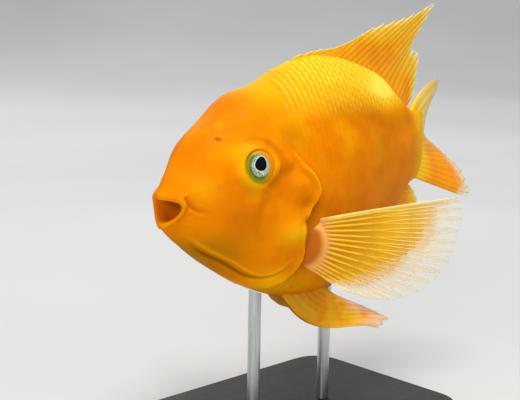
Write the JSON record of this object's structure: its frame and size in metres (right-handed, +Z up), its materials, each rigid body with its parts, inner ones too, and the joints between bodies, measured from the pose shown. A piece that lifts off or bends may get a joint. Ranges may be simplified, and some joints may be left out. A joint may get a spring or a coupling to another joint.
{
  "type": "blood parrot cichlid model on a stand",
  "caption": "Life-size still model of an orange blood parrot cichlid, swimming with its pectoral fins spread, held by two short rods over a flat base.",
  "frame": {"origin": "middle of the bounding box at the underside of the stand's base", "axes": "+X from the head towards the tail, +Y towards the fish's own right side, +Z up"},
  "size_m": [0.191, 0.1286, 0.1782],
  "materials": {
    "flesh": "satin, moist skin",
    "gill_cover": "satin, moist skin",
    "fin": "satin, translucent membrane",
    "eye": "gloss",
    "stand_base": "matte",
    "stand_rod": "satin"
  },
  "bodies": {
    "root": {"head": "flesh", "trunk": "flesh", "tail_stem": "flesh", "gill_cover_left": "gill_cover", "gill_cover_right": "gill_cover", "eye_left": "eye", "eye_right": "eye", "fin_dorsal": "fin", "fin_anal": "fin", "fin_caudal_upper": "fin", "fin_caudal_lower": "fin", "fin_pectoral_left": "fin", "fin_pectoral_right": "fin", "fin_pelvic_left": "fin", "fin_pelvic_right": "fin", "stand_base": "stand_base", "stand_rod_1": "stand_rod", "stand_rod_2": "stand_rod"}
  },
  "joints": []
}
